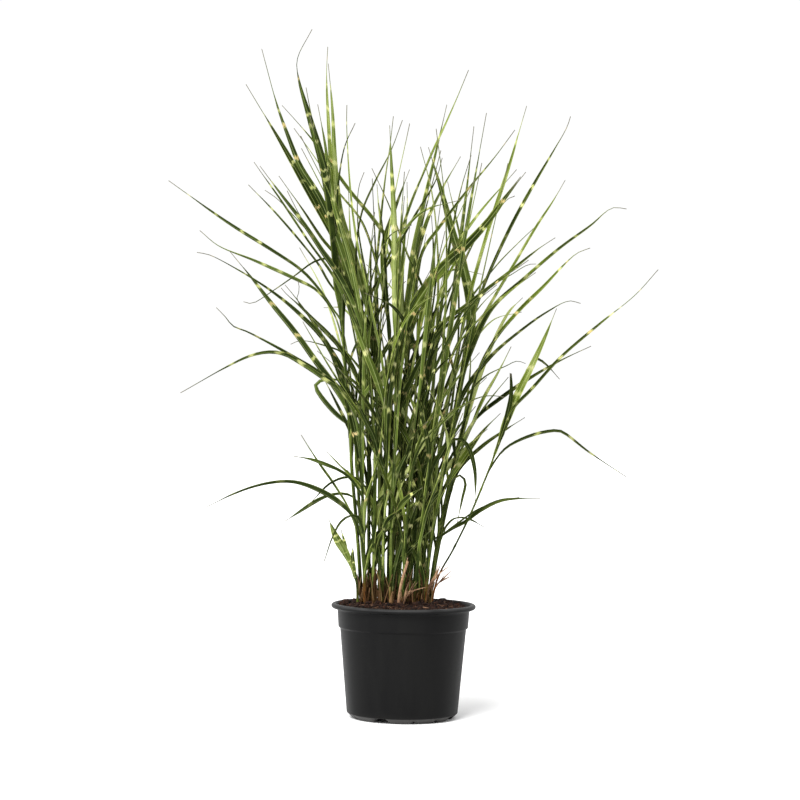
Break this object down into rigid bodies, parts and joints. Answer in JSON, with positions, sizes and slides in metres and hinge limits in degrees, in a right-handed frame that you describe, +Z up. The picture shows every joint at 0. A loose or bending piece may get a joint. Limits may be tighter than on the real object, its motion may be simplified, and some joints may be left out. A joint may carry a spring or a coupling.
{
  "type": "potted miscanthus grass clump",
  "caption": "Clump of tall arching grass with pale bands across narrow green blades, growing in a round black nursery pot filled with peat.",
  "frame": {"origin": "on the pot's axis, in the flat middle of its underside, which is on the plane that it stands on", "axes": "+Z up along the clump's height, -Z out of the pot's underside, -Y towards the front of the clump"},
  "size_m": [0.6356, 0.6489, 0.8934],
  "materials": {
    "pot_plastic": "satin black injection-moulded plastic",
    "peat": "rough moist brown peat",
    "leaf": "satin green leaf with pale yellow bands across it",
    "straw": "dry matt tan stalk"
  },
  "bodies": {
    "root": {"pot": "pot_plastic", "soil": "peat", "shoot_01": "leaf", "shoot_02": "leaf", "shoot_03": "leaf", "shoot_04": "leaf", "shoot_05": "leaf", "shoot_06": "leaf", "shoot_07": "leaf", "shoot_08": "leaf", "shoot_09": "leaf", "shoot_10": "leaf", "shoot_11": "leaf", "shoot_12": "leaf", "shoot_13": "leaf", "shoot_14": "leaf", "shoot_15": "leaf", "shoot_16": "leaf", "shoot_17": "leaf", "shoot_18": "leaf", "shoot_19": "leaf", "shoot_20": "leaf", "shoot_21": "leaf", "shoot_22": "leaf", "shoot_23": "leaf", "shoot_24": "leaf", "shoot_25": "leaf", "shoot_26": "leaf", "shoot_27": "leaf", "young_shoot_1": "leaf", "young_shoot_2": "leaf", "dry_stalk_1": "straw", "dry_stalk_2": "straw", "dry_stalk_3": "straw", "dry_stalk_4": "straw", "dry_stalk_5": "straw"}
  },
  "joints": []
}
